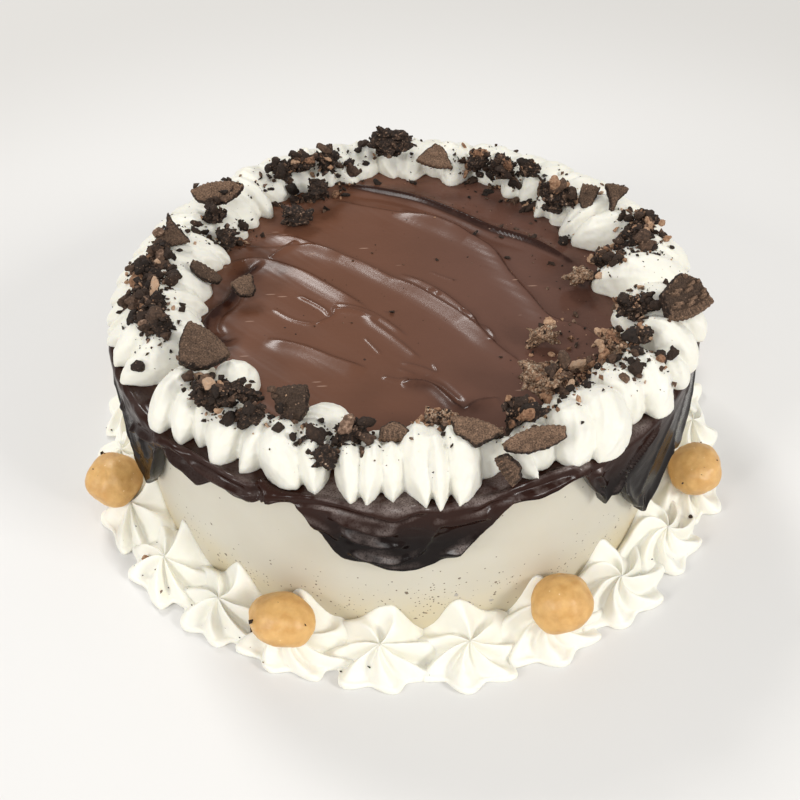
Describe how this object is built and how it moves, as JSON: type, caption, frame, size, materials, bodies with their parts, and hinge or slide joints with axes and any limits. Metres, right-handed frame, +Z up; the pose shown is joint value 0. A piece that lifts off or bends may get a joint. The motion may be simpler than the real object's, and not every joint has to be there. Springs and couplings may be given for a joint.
{
  "type": "ice cream cake",
  "caption": "Round ice cream cake with a dripping fudge coat, piped cream borders, cookie dough balls and broken chocolate cookies.",
  "frame": {"origin": "centre of the cake's underside", "axes": "+Z up, -Y the front, +X the cake's right as seen from the front"},
  "size_m": [0.2473, 0.248, 0.0922],
  "materials": {
    "ice_cream": "smooth frozen vanilla ice cream, satin",
    "fudge": "glossy dark chocolate fudge",
    "whipped_cream": "soft warm white piped cream",
    "cookie_dough": "caramel coloured dough with a slight gloss",
    "dark_cookie": "dry dark chocolate biscuit",
    "filled_cookie": "broken biscuit mixed with cream filling"
  },
  "bodies": {
    "root": {"ice_cream_body": "ice_cream", "fudge_coat": "fudge", "top_cream_border": "whipped_cream", "base_star_01": "whipped_cream", "base_star_02": "whipped_cream", "base_star_03": "whipped_cream", "base_star_04": "whipped_cream", "base_star_05": "whipped_cream", "base_star_06": "whipped_cream", "base_star_07": "whipped_cream", "base_star_08": "whipped_cream", "base_star_09": "whipped_cream", "base_star_10": "whipped_cream", "base_star_11": "whipped_cream", "base_star_12": "whipped_cream", "base_star_13": "whipped_cream", "base_star_14": "whipped_cream", "base_star_15": "whipped_cream", "base_star_16": "whipped_cream", "base_star_17": "whipped_cream", "base_star_18": "whipped_cream", "base_star_19": "whipped_cream", "base_star_20": "whipped_cream", "base_star_21": "whipped_cream", "base_star_22": "whipped_cream", "base_star_23": "whipped_cream", "base_star_24": "whipped_cream", "dough_ball_1": "cookie_dough", "dough_ball_2": "cookie_dough", "dough_ball_3": "cookie_dough", "dough_ball_4": "cookie_dough", "dough_ball_5": "cookie_dough", "dough_ball_6": "cookie_dough", "dough_ball_7": "cookie_dough", "dough_ball_8": "cookie_dough", "cookie_lens": "dark_cookie", "cookie_wedge": "dark_cookie", "cookie_flat_oval": "dark_cookie", "cookie_dark_plate": "dark_cookie", "cookie_ribbed_edge": "dark_cookie", "cookie_flat_chip": "dark_cookie", "cookie_oblong": "dark_cookie", "cookie_hanging_edge": "dark_cookie", "cookie_big_rim": "dark_cookie", "cookie_upright_wedge": "dark_cookie", "cookie_upright_blade": "dark_cookie", "cookie_back_chip": "dark_cookie", "cookie_fudge_chip": "dark_cookie", "cookie_inner_dark": "dark_cookie", "cookie_dark_heap": "dark_cookie", "cookie_front_lump": "dark_cookie", "cookie_tan_heap": "filled_cookie", "cookie_right_heap": "dark_cookie", "cookie_large_tan": "filled_cookie", "cookie_fudge_tan": "filled_cookie", "cookie_rim_dark": "dark_cookie", "cookie_side_tan": "filled_cookie", "cookie_back_chunk": "dark_cookie", "cookie_crown": "dark_cookie", "cookie_left_dark": "dark_cookie"}
  },
  "joints": []
}
